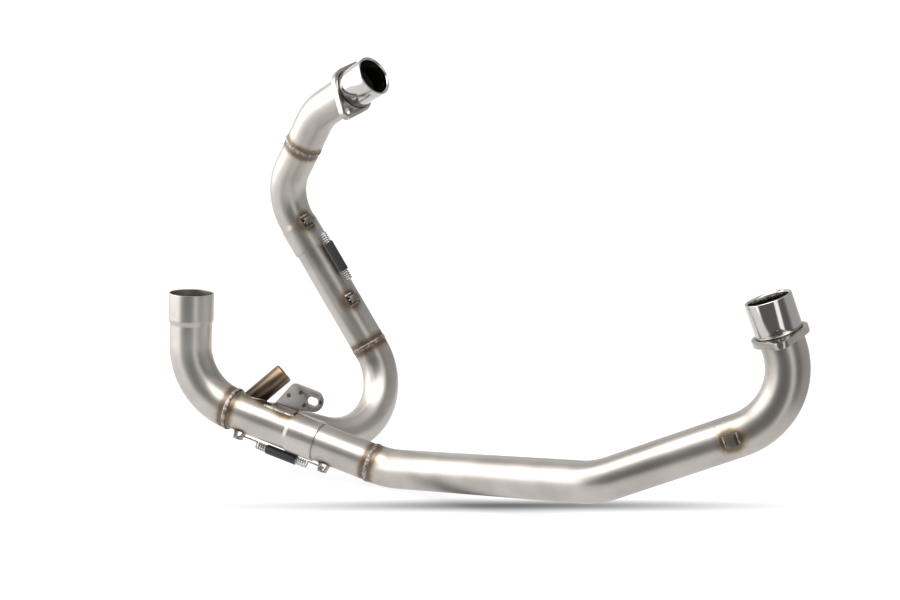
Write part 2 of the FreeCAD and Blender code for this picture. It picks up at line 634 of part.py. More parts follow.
front_far_tab = "Sizes.front_tab_station + Sizes.spring_span"
rear_far_tab = "Sizes.rear_tab_station + Sizes.spring_span"
tab("stub_spring_tab", collector_line, "Sizes.front_tab_station", "Sizes.front_tab_roll", stub)
tab_block = tab("collector_spring_tab", collector_line, front_far_tab, "Sizes.front_tab_roll", collector)
tab("riser_spring_tab", riser_line, "Sizes.rear_tab_station", "Sizes.rear_tab_roll", riser)
tab("rear_spring_tab", riser_line, rear_far_tab, "Sizes.rear_tab_roll", lower)
tab("spare_spring_tab", front_rake, "Sizes.spare_tab_station", "Sizes.spare_tab_roll", down)
spring("front_spring", collector_line, "Sizes.front_tab_station", "Sizes.front_tab_roll", -1)
spring("rear_spring", riser_line, "Sizes.rear_tab_station", "Sizes.rear_tab_roll", 1)

# Merge weld: the room within reach of both pipes, outside both of them.
near_return = cylinder(
    "near_return", merge, "Sizes.riser_od / 2 + Sizes.merge_bead", "Sizes.rear_leg_a"
)
near_collector = cylinder(
    "near_collector", socket_mouth, "Sizes.header_od / 2 + Sizes.merge_bead",
    "Sizes.outlet_station - Sizes.joint_station",
)
crotch = doc.addObject("Part::Common", "crotch")
crotch.Base = near_return
crotch.Tool = near_collector
nodes["merge_weld"] = cut("merge_weld", crotch, collector.body, back.body, boss.body, tab_block)

doc.recompute()
for thing in doc.Objects:
    if "Invalid" in thing.State or "Error" in thing.State:
        raise RuntimeError(f"{thing.Name} did not build: {thing.State}")
for label, node in nodes.items():
    node.Label = label
    if node.Shape.isNull() or not node.Shape.isValid():
        raise RuntimeError(f"{label} has no valid shape")
    node.Shape.exportStep(f"parts/{label}.step")
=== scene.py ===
import math

import bpy
from mathutils import Matrix, Vector


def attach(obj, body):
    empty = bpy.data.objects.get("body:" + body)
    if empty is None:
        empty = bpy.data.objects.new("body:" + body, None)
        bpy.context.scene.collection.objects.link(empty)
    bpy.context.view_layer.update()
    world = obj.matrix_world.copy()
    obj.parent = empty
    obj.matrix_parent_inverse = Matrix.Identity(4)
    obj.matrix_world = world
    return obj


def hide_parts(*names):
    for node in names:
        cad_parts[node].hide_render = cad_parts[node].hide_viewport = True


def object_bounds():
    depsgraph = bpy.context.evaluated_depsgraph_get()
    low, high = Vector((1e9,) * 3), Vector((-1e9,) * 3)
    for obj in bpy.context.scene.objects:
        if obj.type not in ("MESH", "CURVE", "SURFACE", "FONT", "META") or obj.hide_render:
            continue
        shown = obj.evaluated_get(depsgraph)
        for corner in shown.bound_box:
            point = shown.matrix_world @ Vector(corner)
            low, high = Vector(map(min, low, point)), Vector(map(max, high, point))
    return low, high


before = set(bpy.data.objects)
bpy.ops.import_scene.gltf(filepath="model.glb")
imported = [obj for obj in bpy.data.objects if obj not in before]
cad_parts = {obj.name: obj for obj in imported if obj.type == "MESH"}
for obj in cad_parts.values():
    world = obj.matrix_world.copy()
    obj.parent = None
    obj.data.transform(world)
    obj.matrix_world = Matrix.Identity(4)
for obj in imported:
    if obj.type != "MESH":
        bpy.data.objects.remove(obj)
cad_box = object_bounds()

# Front header tubes: drawn stainless tube, 45 mm across, bent on a mandrel and satin polished.
# The down bend and the long run meet in a seam that was dressed flush, and the run ends in a stub
# that slips into the collector.
MM = 0.001
TUBE_WALL = 1.5 * MM
TUBE_EDGE = 0.25 * MM
EDGE_RING = 1 * MM
HEAT_CORE = 4 * MM
HEAT_REACH = 15 * MM
HEAT_WANDER = 4.5 * MM
SEAM_NEAR = 44 * MM
SEAM_FAR = 56 * MM
LATHE_PITCH = 2.6 * MM
STRAW = (0.35, 0.284, 0.212, 1)
BROWN = (0.145, 0.108, 0.082, 1)


class Shade:
    """A value in a finish: operators on it add Math nodes, and node() adds any other node."""

    def __init__(self, tree, socket=None):
        self.tree = tree
        self.socket = socket

    def node(self, kind, settings=None, sockets=None, output=0):
        made = self.tree.nodes.new("ShaderNode" + kind)
        for name, value in (settings or {}).items():
            setattr(made, name, value)
        taken = [socket for socket in made.inputs if socket.enabled]
        for key, value in (sockets or {}).items():
            target = taken[key] if isinstance(key, int) else next(s for s in taken if s.name == key)
            if isinstance(value, Shade):
                self.tree.links.new(value.socket, target)
            else:
                target.default_value = value
        given = [socket for socket in made.outputs if socket.enabled]
        return Shade(self.tree, given[output] if isinstance(output, int) else made.outputs[output])

    def into(self, surface, name):
        self.tree.links.new(self.socket, surface.inputs[name])

    def math(self, operation, *others):
        values = (self,) + others
        return self.node("Math", {"operation": operation}, dict(enumerate(values)))

    def __add__(self, other):
        return self.math("ADD", other)

    def __mul__(self, other):
        return self.math("MULTIPLY", other)

    def __sub__(self, other):
        return self.math("SUBTRACT", other)

    def __rsub__(self, other):
        return self.node("Math", {"operation": "SUBTRACT"}, {0: other, 1: self})

    __radd__ = __add__
    __rmul__ = __mul__

    def smooth(self, low, high):
        """0 at low and 1 at high, with soft ends."""
        ends = {"Value": self, "From Min": low, "From Max": high}
        return self.node("MapRange", {"interpolation_type": "SMOOTHSTEP"}, ends)

    def blend(self, start, end):
        """A colour from start to end as this value goes from 0 to 1."""
        return self.node("Mix", {"data_type": "RGBA"}, {"Factor": self, "A": start, "B": end})

    def vector(self, operation, *others):
        values = (self,) + others
        return self.node("VectorMath", {"operation": operation}, dict(enumerate(values)))

    def noise(self, scale, detail=2.0, rough=0.5):
        return self.node(
            "TexNoise", None, {"Vector": self, "Scale": scale, "Detail": detail, "Roughness": rough}
        )


def new_finish(name, **constants):
    """An empty material, its surface node and the piece's own coordinates."""
    material = bpy.data.materials.new(name)
    material.use_nodes = True
    surface = material.node_tree.nodes["Principled BSDF"]
    for socket, value in constants.items():
        surface.inputs[socket].default_value = value
    place = Shade(material.node_tree).node("TexCoord", output="Object")
    return material, surface, place


def seam_of(place):
    """The centre and axis of a place on a tube."""
    return place.translation, place.col[2].to_3d()


def steel_finish(name, dark, light, rough, seams=(), spots=(), lathe=None, tints=(STRAW, BROWN)):
    """Satin stainless steel, tinted by heat beside each weld seam and round each spot."""
    material, surface, place = new_finish(name, Metallic=1.0)
    cloud = place.noise(22.0, 3.0)
    fine = place.noise(1400.0, 2.0, 0.6)
    wander = (place.noise(190.0, 2.0) - 0.5) * HEAT_WANDER
    heat = None
    for centre, axis in seams:
        offset = place.vector("SUBTRACT", centre)
        across = offset.vector("DOT_PRODUCT", axis).math("ABSOLUTE") + wander
        away = offset.vector("LENGTH").smooth(SEAM_FAR, SEAM_NEAR)
        band = across.smooth(HEAT_REACH, HEAT_CORE) * away
        heat = band if heat is None else heat.math("MAXIMUM", band)
    for centre, reach in spots:
        away = place.vector("SUBTRACT", centre).vector("LENGTH") + wander
        disc = away.smooth(1.25 * reach, 0.45 * reach)
        heat = disc if heat is None else heat.math("MAXIMUM", disc)
    tone = cloud.smooth(0.3, 0.7).blend(dark, light)
    gloss = (cloud - 0.5) * 0.06 + (fine - 0.5) * 0.10 + rough
    if heat is not None:
        tone = (heat.smooth(0.02, 0.55) * 0.85).blend(tone, tints[0])
        tone = (heat.smooth(0.40, 0.95) * 0.92).blend(tone, tints[1])
        gloss = gloss + heat * 0.08
    relief = fine * 0.5
    if lathe:
        centre, axis = seam_of(lathe[0])
        station = place.vector("SUBTRACT", centre).vector("DOT_PRODUCT", axis)
        rings = (station * (2 * math.pi / LATHE_PITCH)).math("SINE") * 0.5 + 0.5
        begun = station.smooth(lathe[1] - 1 * MM, lathe[1])
        inside = begun * station.smooth(lathe[2] + 1 * MM, lathe[2])
        relief = relief + rings * inside * 8
        tone = (rings * inside * 0.4).blend(tone, (0.62, 0.59, 0.56, 1))
        gloss = gloss - rings * inside * 0.05
    tone.into(surface, "Base Color")
    gloss.into(surface, "Roughness")
    bump = place.node("Bump", None, {"Strength": 0.12, "Distance": 0.06 * MM, "Height": relief})
    bump.into(surface, "Normal")
    return material


def dress(piece, finish, slot, *nodes, body="pipe"):
    """Gives a new piece its finish and body, in the place of the CAD nodes it stands for."""
    piece.data.materials.clear()
    piece.data.materials.append(finish)
    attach(piece, body)
    if nodes:
        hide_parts(*nodes)


def smooth_edges(piece, width, angle=40):
    """Breaks the sharp edges of a piece and shades the rest of it smooth."""
    bevel = piece.modifiers.new("edge_break", "BEVEL")
    bevel.width = width
    bevel.segments = 2
    bevel.limit_method = "ANGLE"
    bevel.angle_limit = math.radians(angle)
    bpy.ops.object.modifier_apply(modifier=bevel.name)
    bpy.ops.object.shade_smooth_by_angle(angle=math.radians(angle))


def turned(angle, axis):
    return Matrix.Rotation(math.radians(angle), 4, axis)


def moved(x=0.0, y=0.0, z=0.0):
    return Matrix.Translation((x, y, z))


def ring_at(name, place, radius, sides):
    """A new circle of edges at a place, left selected in edit mode."""
    bpy.ops.object.select_all(action="DESELECT")
    bpy.ops.mesh.primitive_circle_add(vertices=sides, radius=radius, fill_type="NOTHING")
    piece = bpy.context.object
    piece.name = name
    piece.matrix_world = place
    bpy.ops.object.transform_apply(location=True, rotation=True, scale=True)
    bpy.ops.object.mode_set(mode="EDIT")
    bpy.ops.mesh.select_all(action="SELECT")
    return piece


def draw_out(place, length, ratio=1.0):
    """Extrudes the selected ring along its place, then scales it, and gives the new place."""
    bpy.ops.mesh.extrude_region_move(
        TRANSFORM_OT_translate={"value": place.to_3x3() @ Vector((0, 0, length))}
    )
    place = place @ moved(z=length)
    if ratio != 1.0:
        bpy.ops.transform.resize(value=(ratio, ratio, ratio), center_override=place.translation)
    return place


def draw_tube(name, start, od, steps, wall=TUBE_WALL, sides=80, degrees=2.5):
    """A tube rolled along its centreline: a ring drawn out along legs and spun round bends.

    The rings near the ends of a leg keep the shading of a step or bend off the straight.
    """
    tube = ring_at(name, start, od / 2, sides)
    stops = [start]
    place = start
    for kind, *sizes in steps:
        if kind == "leg":
            for length in (EDGE_RING, sizes[0] - 2 * EDGE_RING, EDGE_RING):
                place = draw_out(place, length)
        elif kind == "swage":
            place = draw_out(place, sizes[0], sizes[1] / od)
            od = sizes[1]
        else:
            radius, angle, plane = sizes
            place = place @ turned(plane, "Z")
            bpy.ops.mesh.spin(
                steps=max(4, round(angle / degrees)), angle=math.radians(angle),
                center=place @ Vector((radius, 0, 0)), axis=place.to_3x3() @ Vector((0, -1, 0)),
            )
            place = place @ moved(x=radius) @ turned(angle, "Y") @ moved(x=-radius)
        stops.append(place)
    bpy.ops.mesh.select_all(action="SELECT")
    bpy.ops.mesh.remove_doubles(threshold=0.01 * MM)
    bpy.ops.mesh.normals_make_consistent(inside=False)
    if not wall:
        bpy.ops.mesh.fill_holes(sides=0)
    bpy.ops.object.mode_set(mode="OBJECT")
    if wall:
        shell = tube.modifiers.new("wall", "SOLIDIFY")
        shell.thickness = wall
        shell.offset = -1
        bpy.ops.object.modifier_apply(modifier=shell.name)
    smooth_edges(tube, TUBE_EDGE)
    return tube, stops


def spot_on(place, station, direction, od, reach):
    """A heat spot on the outside of a tube, at a station along it and a direction round it."""
    centre = place @ moved(z=station) @ turned(direction, "Z") @ Vector((od / 2, 0, 0))
    return centre, reach


HEADER_OD = 45 * MM
SLIP_OD = 44 * MM
WIDE_BEND = 75 * MM
TIGHT_BEND = 67.5 * MM
PORT_LEAN = 16
PORT_SPLAY = 12
PORT_LEG = 52 * MM
SPIGOT_SEAT = 24 * MM
DOWN_TURN = 87
DOWN_ROLL = -29
DOWN_END = 18 * MM
RUN_LEAD = 120 * MM
RUN_TURN = 30
RUN_ROLL = 67
LONG_RUN = 261 * MM
STUB_TURN = 31.5
STUB_ROLL = -99
SOCKET_STATION = 70 * MM
SLIP_DEPTH = 34 * MM
SLIP_PLAY = 3 * MM
SPRING_SPAN = 112 * MM
FRONT_TAB_STATION = 54 * MM
FRONT_TAB_ROLL = -117
SPARE_TAB_STATION = 6 * MM
SPARE_TAB_ROLL = -82
TUBE_DARK = (0.385, 0.361, 0.334, 1)
TUBE_LIGHT = (0.46, 0.433, 0.404, 1)
TUBE_ROUGH = 0.35
TAB_REACH = 17 * MM

front_port = turned(PORT_SPLAY, "X") @ turned(180 - PORT_LEAN, "Y")
down_bend, down_stops = draw_tube(
    "front_down_bend_tube", front_port @ moved(z=SPIGOT_SEAT), HEADER_OD,
    [("leg", PORT_LEG - SPIGOT_SEAT), ("bend", WIDE_BEND, DOWN_TURN, DOWN_ROLL), ("leg", DOWN_END)],
)
run_tube, run_stops = draw_tube(
    "front_run_long_tube", down_stops[-1], HEADER_OD,
    [("leg", RUN_LEAD), ("bend", TIGHT_BEND, RUN_TURN, RUN_ROLL), ("leg", LONG_RUN),
     ("bend", TIGHT_BEND, STUB_TURN, STUB_ROLL)],
)
collector_line = run_stops[-1]
slip_tube, _ = draw_tube(
    "front_slip_stub", collector_line, SLIP_OD, [("leg", SOCKET_STATION + SLIP_DEPTH - SLIP_PLAY)],
)
front_rake = down_stops[2]
front_spot = spot_on(front_rake, SPARE_TAB_STATION, SPARE_TAB_ROLL, HEADER_OD, TAB_REACH)
stub_spot = spot_on(collector_line, FRONT_TAB_STATION, FRONT_TAB_ROLL, SLIP_OD, TAB_REACH)
dress(
    down_bend, steel_finish("down_bend_satin", TUBE_DARK, TUBE_LIGHT, TUBE_ROUGH, spots=[front_spot]),
    "tube_steel", "front_down_bend",
)
dress(
    run_tube,
    steel_finish("run_satin", TUBE_DARK, TUBE_LIGHT, TUBE_ROUGH, [seam_of(collector_line)], [front_spot]),
    "tube_steel", "front_run_tube",
)
dress(
    slip_tube,
    steel_finish("slip_satin", TUBE_DARK, TUBE_LIGHT, TUBE_ROUGH, [seam_of(collector_line)], [stub_spot]),
    "tube_steel", "front_slip_tube",
)

# Collector and outlet: the socket is turned from thicker tube and swaged down to 45 mm, then out to
# 50 mm where the outlet bend is butt welded to it.  The outlet's mouth is expanded to take a link
# pipe, and the steel is brown round the boss, the bracket and the tab that are welded to it.
SOCKET_OD = 48 * MM
SOCKET_WALL = 1.8 * MM
SOCKET_ROUGH = TUBE_ROUGH - 0.02
OUTLET_OD = 50 * MM
MOUTH_OD = 53.4 * MM
SHOULDER = 4 * MM
COLLECTOR_LEG = 69 * MM
OUTLET_SWAGE = 8 * MM
OUTLET_TURN = 76.5
OUTLET_ROLL = 45
OUTLET_LEG = 25 * MM
MOUTH_SWAGE = 5 * MM
MOUTH_LEG = 32 * MM
LATHE_START = 72 * MM
LATHE_END = 103 * MM
COLLECTOR_TAB_STATION = FRONT_TAB_STATION + SPRING_SPAN
# Heat marks: station along the collector, direction round it and reach, in millimetres and degrees.
BOSS_HEAT = (170, 72, 22)
MIDDLE_HEAT = (145, 60, 20)
BRACKET_HEAT = (118, 46, 22)

socket_mouth = collector_line @ moved(z=SOCKET_STATION)
collector, collector_stops = draw_tube(
    "collector_body", socket_mouth, SOCKET_OD,
    [("leg", SLIP_DEPTH), ("swage", SHOULDER, HEADER_OD), ("leg", COLLECTOR_LEG),
     ("swage", OUTLET_SWAGE, OUTLET_OD)],
    wall=SOCKET_WALL,
)
outlet_seam = collector_stops[-1]
outlet, _ = draw_tube(
    "outlet_bend_tube", outlet_seam, OUTLET_OD,
    [("bend", WIDE_BEND, OUTLET_TURN, OUTLET_ROLL), ("leg", OUTLET_LEG),
     ("swage", MOUTH_SWAGE, MOUTH_OD), ("leg", MOUTH_LEG)],
)
collector_spots = [
    spot_on(collector_line, station * MM, direction, HEADER_OD, reach * MM)
    for station, direction, reach in (BOSS_HEAT, MIDDLE_HEAT, BRACKET_HEAT)
]
collector_spots.append(
    spot_on(collector_line, COLLECTOR_TAB_STATION, FRONT_TAB_ROLL, HEADER_OD, TAB_REACH)
)
dress(
    collector,
    steel_finish(
        "collector_satin", TUBE_DARK, TUBE_LIGHT, SOCKET_ROUGH, [seam_of(outlet_seam)],
        collector_spots, (collector_line, LATHE_START, LATHE_END),
    ),
    "tube_steel", "collector_tube",
)
dress(
    outlet, steel_finish("outlet_satin", TUBE_DARK, TUBE_LIGHT, TUBE_ROUGH, [seam_of(outlet_seam)]),
    "tube_steel", "outlet_bend",
)

# Rear header: the return bend leaves the collector backwards, turns up into the riser, and the riser
# slips into the rear pipe, which bends forward to its port.  All of it is 44 and 45 mm tube.
RISER_OD = 44 * MM
RISER_SLIP_OD = 43.4 * MM
REAR_SOCKET_OD = 46.8 * MM
MERGE_STATION = 164 * MM
MERGE_ROLL = 147
MERGE_ANGLE = 44
MERGE_CUT = 24 * MM
RETURN_LEG = 100 * MM
RETURN_TURN = 132.5
RETURN_ROLL = -117
RETURN_END = 6.5 * MM
RISER_LEG = 110.5 * MM
NECK_SWAGE = 4 * MM
NECK_LEG = 56 * MM
REAR_SOCKET_STATION = 146 * MM
LOWER_TURN = 63.5
LOWER_ROLL = 106
LOWER_END = 38 * MM
UPPER_LEG = 34 * MM
UPPER_TURN = 26.5
UPPER_ROLL = -2
UPPER_END = 60 * MM
RISER_TAB_STATION = 67 * MM
REAR_TAB_STATION = RISER_TAB_STATION + SPRING_SPAN
REAR_TAB_ROLL = 83

merge_foot = collector_line @ moved(z=MERGE_STATION) @ turned(MERGE_ROLL, "Z")
merge = merge_foot @ turned(180 - MERGE_ANGLE, "Y")
return_bend, return_stops = draw_tube(
    "return_bend_tube", merge @ moved(z=MERGE_CUT), RISER_OD,
    [("leg", RETURN_LEG - MERGE_CUT), ("bend", WIDE_BEND, RETURN_TURN, RETURN_ROLL), ("leg", RETURN_END)],
)
riser_line = return_stops[2]
riser_seam = return_stops[-1]
riser, _ = draw_tube(
    "riser_slip_tube", riser_seam, RISER_OD,
    [("leg", RISER_LEG), ("swage", NECK_SWAGE, RISER_SLIP_OD), ("leg", NECK_LEG)],
)
rear_lower, lower_stops = draw_tube(
    "rear_lower_tube", riser_line @ moved(z=REAR_SOCKET_STATION), REAR_SOCKET_OD,
    [("leg", SLIP_DEPTH), ("swage", SHOULDER, HEADER_OD),
     ("bend", TIGHT_BEND, LOWER_TURN, LOWER_ROLL), ("leg", LOWER_END)],
)
rear_seam = lower_stops[-1]
rear_upper, upper_stops = draw_tube(
    "rear_upper_tube", rear_seam, HEADER_OD,
    [("leg", UPPER_LEG), ("bend", TIGHT_BEND, UPPER_TURN, UPPER_ROLL), ("leg", UPPER_END)],
)
rear_port = upper_stops[-1] @ moved(z=SPIGOT_SEAT) @ turned(180, "X")
riser_spot = spot_on(riser_line, RISER_TAB_STATION, REAR_TAB_ROLL, RISER_OD, TAB_REACH)
rear_spot = spot_on(riser_line, REAR_TAB_STATION, REAR_TAB_ROLL, HEADER_OD, TAB_REACH)
dress(
    return_bend, steel_finish("return_satin", TUBE_DARK, TUBE_LIGHT, TUBE_ROUGH, [seam_of(riser_seam)]),
    "tube_steel", "return_bend",
)
dress(
    riser,
    steel_finish("riser_satin", TUBE_DARK, TUBE_LIGHT, TUBE_ROUGH, [seam_of(riser_seam)], [riser_spot]),
    "tube_steel", "riser_tube",
)
dress(
    rear_lower,
    steel_finish("rear_lower_satin", TUBE_DARK, TUBE_LIGHT, TUBE_ROUGH, [seam_of(rear_seam)], [rear_spot]),
    "tube_steel", "rear_lower_bend",
)
dress(
    rear_upper,
    steel_finish("rear_upper_satin", TUBE_DARK, TUBE_LIGHT, TUBE_ROUGH, [seam_of(rear_seam)]),
    "tube_steel", "rear_upper_bend",
)

# Port spigots: noses turned from bar to a bright finish, bored to take the ends of the header tubes,
# with a narrow root that seats in the recess of the loose flange.
SPIGOT_TONE = (0.53, 0.515, 0.50)
SPIGOT_ROUGH = 0.11
TOOL_LINES = 9000
LATHE_EDGE = 0.15 * MM
SPIGOT_PROFILE = [
    (24.0, 0.5), (24.0, 36.0), (23.6, 36.2), (23.6, 38.0), (22.55, 38.0), (22.55, 24.0), (21.0, 24.0),
    (21.0, 1.2), (22.2, 0.0), (23.5, 0.0),
]


def turn_piece(name, place, profile, sides=96):
    """A lathe piece: a ring carried round a closed profile of radii and stations, in millimetres."""
    radius, station = profile[0]
    at = place @ moved(z=station * MM)
    piece = ring_at(name, at, radius * MM, sides)
    for next_radius, next_station in profile[1:] + profile[:1]:
        at = draw_out(at, (next_station - station) * MM, next_radius / radius)
        radius, station = next_radius, next_station
    bpy.ops.mesh.select_all(action="SELECT")
    bpy.ops.mesh.remove_doubles(threshold=0.01 * MM)
    bpy.ops.mesh.normals_make_consistent(inside=False)
    bpy.ops.object.mode_set(mode="OBJECT")
    smooth_edges(piece, LATHE_EDGE, 25)
    return piece


def turned_finish(name, place, colour, rough):
    """Bright turned steel with fine tool lines round the axis of its place."""
    material, surface, coords = new_finish(name, Metallic=1.0)
    centre, axis = seam_of(place)
    station = coords.vector("SUBTRACT", centre).vector("DOT_PRODUCT", axis)
    lines = (station * TOOL_LINES).math("SINE")
    cloud = coords.noise(60.0, 3.0)
    cloud.blend((*[0.9 * c for c in colour], 1), (*colour, 1)).into(surface, "Base Color")
    ((cloud - 0.5) * 0.06 + lines * 0.012 + rough).into(surface, "Roughness")
    bump = coords.node("Bump", None, {"Strength": 0.05, "Distance": 0.02 * MM, "Height": lines})
    bump.into(surface, "Normal")
    return material


for side, port in (("front", front_port), ("rear", rear_port)):
    spigot = turn_piece(f"{side}_turned_spigot", port, SPIGOT_PROFILE)
    dress(
        spigot, turned_finish(f"{side}_spigot_bright", port, SPIGOT_TONE, SPIGOT_ROUGH),
        "turned_steel", f"{side}_spigot",
    )

# Port flanges: seven millimetre stainless plate, profile cut and machined, loose on the pipe so that
# the two stud holes find their studs.
FLANGE_DARK = (0.38, 0.358, 0.332, 1)
FLANGE_LIGHT = (0.48, 0.457, 0.43, 1)
FLANGE_ROUGH = 0.24
FLANGE_EDGE = 0.5 * MM


def soften(node, name, width):
    """A copy of a CAD node with its triangles merged into faces and its edges broken."""
    bpy.ops.object.select_all(action="DESELECT")
    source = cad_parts[node]
    source.select_set(True)
    bpy.context.view_layer.objects.active = source
    bpy.ops.object.duplicate()
    piece = bpy.context.object
    piece.name = name
    piece.parent = None
    bpy.ops.object.mode_set(mode="EDIT")
    bpy.ops.mesh.select_all(action="SELECT")
    bpy.ops.mesh.remove_doubles(threshold=0.005 * MM)
    bpy.ops.mesh.customdata_custom_splitnormals_clear()
    bpy.ops.mesh.dissolve_limited(angle_limit=math.radians(1))
    bpy.ops.object.mode_set(mode="OBJECT")
    smooth_edges(piece, width, 35)
    return piece


flange_finish = steel_finish("flange_machined", FLANGE_DARK, FLANGE_LIGHT, FLANGE_ROUGH)
for side in ("front", "rear"):
    flange = soften(f"{side}_flange", f"{side}_port_flange", FLANGE_EDGE)
    dress(flange, flange_finish, "flange_steel", f"{side}_flange", body=f"{side}_collar")

# Weld beads: TIG runs laid by hand round the seams.  Each is a row of overlapping ripples, bright on
# the crowns and brown between them.
RIPPLE_LENGTH = 3.4 * MM
RIPPLE_WIDTH = 5.2 * MM
RIPPLE_HEIGHT = 0.65 * MM
RIPPLE_STEP = 1.75 * MM
RIPPLE_SKEW = 12
MERGE_RIPPLES = 118
MERGE_SIZE = 0.9
bead_finish, surface, coords = new_finish("weld_ripples", Metallic=1.0)
bead_cloud = coords.noise(300.0, 2.0, 0.6)
bead_spread = coords.noise(90.0, 2.0)
bead_tone = bead_cloud.smooth(0.40, 0.60).blend((0.16, 0.132, 0.110, 1), (0.38, 0.35, 0.32, 1))
bead_tone = (bead_spread.smooth(0.48, 0.72) * 0.8).blend(bead_tone, (0.155, 0.122, 0.100, 1))
bead_tone.into(surface, "Base Color")
(bead_cloud * 0.2 + 0.28).into(surface, "Roughness")
bead_bump = coords.node("Bump", None, {"Strength": 0.25, "Distance": 0.1 * MM, "Height": bead_cloud})
bead_bump.into(surface, "Normal")


def weld_ripple(name, place, size=1.0):
    """One ripple: a flattened ball on a surface, X out of it and Y along the run."""
    bpy.ops.object.select_all(action="DESELECT")
    bpy.ops.mesh.primitive_uv_sphere_add(segments=12, ring_count=8, radius=0.5)
    ripple = bpy.context.object
    ripple.name = name
    shape = Matrix.Diagonal((2 * RIPPLE_HEIGHT * size, RIPPLE_LENGTH * size, RIPPLE_WIDTH * size, 1))
    ripple.matrix_world = place @ turned(RIPPLE_SKEW, "Z") @ shape
    bpy.ops.object.transform_apply(location=True, rotation=True, scale=True)
    return ripple


def weld_bead(name, place, od):
    """A bead round a butt seam: one ripple spun round the tube in a row."""
    bead = weld_ripple(name, place @ moved(x=od / 2))
    bpy.ops.object.mode_set(mode="EDIT")
    bpy.ops.mesh.select_all(action="SELECT")
    centre, axis = seam_of(place)
    bpy.ops.mesh.spin(
        steps=round(math.pi * od / RIPPLE_STEP), dupli=True, angle=math.radians(360), center=centre,
        axis=axis,
    )
    bpy.ops.mesh.select_all(action="SELECT")
    bpy.ops.mesh.remove_doubles(threshold=0.001 * MM)
    bpy.ops.mesh.normals_make_consistent(inside=False)
    bpy.ops.object.mode_set(mode="OBJECT")
    bpy.ops.object.shade_smooth()
    return bead


def weld_run(name, points, normals, size):
    """A run along a path on a surface: ripples set at its points and joined."""
    ripples = []
    for i, (point, normal) in enumerate(zip(points, normals)):
        ahead = points[min(i + 1, len(points) - 1)] - points[max(i - 1, 0)]
        out = normal.normalized()
        run = (ahead - ahead.dot(out) * out).normalized()
        place = Matrix((out, run, out.cross(run))).transposed().to_4x4()
        place.translation = point
        ripples.append(weld_ripple(f"{name}_{i}", place, size))
    bpy.ops.object.select_all(action="DESELECT")
    for ripple in ripples:
        ripple.select_set(True)
    bpy.context.view_layer.objects.active = ripples[0]
    bpy.ops.object.join()
    bpy.ops.object.shade_smooth()
    ripples[0].name = name
    return ripples[0]


def saddle(branch, radius, trunk, trunk_radius, count):
    """Points where a branch tube meets a trunk tube, with the normals between the two surfaces."""
    centre, axis = seam_of(trunk)
    along = branch.col[2].to_3d()
    flat = along - along.dot(axis) * axis
    points, normals = [], []
    for i in range(count):
        angle = math.radians(360 * i / (count - 1))
        side = branch.to_3x3() @ Vector((math.cos(angle), math.sin(angle), 0))
        offset = branch.translation + radius * side - centre
        offset = offset - offset.dot(axis) * axis
        half = offset.dot(flat) / flat.length_squared
        rest = (offset.length_squared - trunk_radius ** 2) / flat.length_squared
        reach = -half + math.sqrt(max(half * half - rest, 0))
        point = branch.translation + radius * side + reach * along
        outward = point - centre
        outward = (outward - outward.dot(axis) * axis).normalized()
        points.append(point)
        normals.append(side + outward)
    return points, normals


for name, place, od in (
    ("front_weld", collector_line, HEADER_OD), ("outlet_weld", outlet_seam, OUTLET_OD),
    ("riser_weld", riser_seam, RISER_OD), ("rear_weld", rear_seam, HEADER_OD),
):
    dress(weld_bead(f"{name}_ripples", place, od), bead_finish, "weld_metal", name)
merge_path = saddle(merge, RISER_OD / 2, collector_line, HEADER_OD / 2, MERGE_RIPPLES)
dress(weld_run("merge_weld_ripples", *merge_path, MERGE_SIZE), bead_finish, "weld_metal", "merge_weld")

# Sensor boss: a turned stub welded to the collector for an oxygen sensor, brown from the welding heat
# with a golden lip, and a small bead round its foot.
BOSS_OD = 24.5 * MM
BOSS_STATION = 177 * MM
BOSS_ROLL = 72
BOSS_LEAN = 28
BOSS_LIP = 65 * MM
BOSS_END = 70.5 * MM
BOSS_EDGE = 0.3 * MM
BOSS_RIPPLES = 66
BOSS_SIZE = 0.85
TINT_START = 22 * MM
TINT_END = 62 * MM
TINT_WANDER = 16 * MM
boss_foot_line = collector_line @ moved(z=BOSS_STATION) @ turned(BOSS_ROLL, "Z")
boss_line = boss_foot_line @ turned(90 + BOSS_LEAN, "Y")
boss_finish, surface, coords = new_finish("boss_heat_tint", Metallic=1.0)
boss_foot, boss_axis = seam_of(boss_line)
boss_station = coords.vector("SUBTRACT", boss_foot).vector("DOT_PRODUCT", boss_axis)
boss_cloud = coords.noise(70.0, 3.0)
boss_tint = (boss_station + (boss_cloud - 0.5) * TINT_WANDER).smooth(TINT_START, TINT_END)
boss_tone = boss_tint.blend((0.052, 0.039, 0.030, 1), (0.160, 0.120, 0.084, 1))
boss_tone = boss_station.smooth(BOSS_LIP, BOSS_END).blend(boss_tone, (0.26, 0.175, 0.085, 1))
boss_tone.into(surface, "Base Color")
(boss_cloud * 0.16 + 0.26).into(surface, "Roughness")
boss = soften("sensor_boss", "sensor_boss_stub", BOSS_EDGE)
dress(boss, boss_finish, "boss_steel", "sensor_boss")
boss_path = saddle(boss_line, BOSS_OD / 2, collector_line, HEADER_OD / 2, BOSS_RIPPLES)
dress(weld_run("boss_weld_ripples", *boss_path, BOSS_SIZE), bead_finish, "weld_metal")

